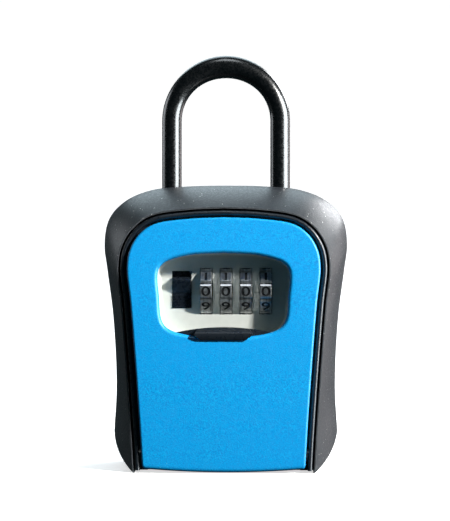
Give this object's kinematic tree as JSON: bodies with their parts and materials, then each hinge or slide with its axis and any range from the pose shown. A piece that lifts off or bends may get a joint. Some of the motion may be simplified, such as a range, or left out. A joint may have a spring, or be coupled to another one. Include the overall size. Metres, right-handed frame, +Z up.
{
  "type": "key lock box",
  "caption": "Hourglass-sided key lock box with a round-bar shackle, code dials and an open switch behind a sliding shutter, and a front door that swings down.",
  "frame": {"origin": "on the base plane, under the centre of the whole box's bounding box in plan", "axes": "+Z up along the shackle, -Y out of the front door, +X to the right of a person facing the door"},
  "size_m": [0.0918, 0.042, 0.1556],
  "materials": {
    "shell_black": "fine-grained matt black moulding",
    "casting_grey": "dark grey powder-coated casting",
    "shackle_black": "gloss black coated steel bar",
    "trim_black": "satin black moulding",
    "door_blue": "satin sky blue with a fine grain",
    "panel_light": "smooth light grey",
    "wheel_chrome": "plated die-cast wheels",
    "steel": "zinc-plated steel",
    "brass": "turned brass",
    "rubber_black": "soft matt rubber"
  },
  "bodies": {
    "housing": {"outer_shell": "shell_black", "inner_box": "casting_grey", "shackle_block": "casting_grey", "latch_keeper": "steel", "shell_screw_1": "steel", "shell_screw_2": "steel", "shell_screw_3": "steel", "shell_screw_4": "steel", "block_screw_1": "steel", "block_screw_2": "steel", "keeper_screw_1": "steel", "keeper_screw_2": "steel", "wall_hole_plug_1": "rubber_black", "wall_hole_plug_2": "rubber_black", "wall_hole_plug_3": "rubber_black", "wall_hole_plug_4": "rubber_black", "hinge_pin_1": "steel", "hinge_pin_2": "steel"},
    "shackle": {"shackle": "shackle_black"},
    "shackle_release": {"shackle_lock_plate": "steel"},
    "door": {"door_cover": "door_blue", "door_chassis": "trim_black", "dial_panel": "panel_light", "cover_screw_1": "steel", "cover_screw_2": "steel", "cover_screw_3": "steel", "cover_screw_4": "steel", "lock_case": "casting_grey", "lock_cover": "steel", "case_screw_1": "steel", "case_screw_2": "steel", "case_screw_3": "steel", "case_screw_4": "steel", "detent_spring": "steel"},
    "shutter": {"dial_shutter": "trim_black"},
    "open_switch": {"open_button": "trim_black", "latch_plate": "steel", "latch_screw": "steel"},
    "dial_1": {"dial_wheel_1": "wheel_chrome"},
    "dial_2": {"dial_wheel_2": "wheel_chrome"},
    "dial_3": {"dial_wheel_3": "wheel_chrome"},
    "dial_4": {"dial_wheel_4": "wheel_chrome"},
    "code_slider": {"clutch_sleeve_1": "brass", "clutch_sleeve_2": "brass", "clutch_sleeve_3": "brass", "clutch_sleeve_4": "brass", "dial_shaft": "steel", "code_lever": "trim_black"}
  },
  "joints": [
    {"name": "door_hinge", "type": "hinge", "parent": "housing", "child": "door", "pos_m": [0, -0.01385, 0.006], "axis": [1, 0, 0], "range_deg": [0, 95]},
    {"name": "open_switch_slide", "type": "slide", "parent": "door", "child": "open_switch", "axis": [0, 0, 1], "range_m": [0, 0.0021]},
    {"name": "dial_1_turn", "type": "hinge", "parent": "door", "child": "dial_1", "pos_m": [-0.0066, -0.00525, 0.066], "axis": [1, 0, 0], "continuous": true},
    {"name": "dial_2_turn", "type": "hinge", "parent": "door", "child": "dial_2", "pos_m": [0.0007, -0.00525, 0.066], "axis": [1, 0, 0], "continuous": true},
    {"name": "dial_3_turn", "type": "hinge", "parent": "door", "child": "dial_3", "pos_m": [0.008, -0.00525, 0.066], "axis": [1, 0, 0], "continuous": true},
    {"name": "dial_4_turn", "type": "hinge", "parent": "door", "child": "dial_4", "pos_m": [0.0153, -0.00525, 0.066], "axis": [1, 0, 0], "continuous": true},
    {"name": "code_lever_slide", "type": "slide", "parent": "door", "child": "code_slider", "axis": [-1, 0, 0], "range_m": [0, 0.0014]},
    {"name": "shutter_slide", "type": "slide", "parent": "door", "child": "shutter", "axis": [0, 0, 1], "range_m": [0, 0.027]},
    {"name": "shackle_lift", "type": "slide", "parent": "housing", "child": "shackle", "axis": [0, 0, 1], "range_m": [0, 0.024]},
    {"name": "shackle_release_slide", "type": "slide", "parent": "housing", "child": "shackle_release", "axis": [1, 0, 0], "range_m": [0, 0.002]}
  ]
}
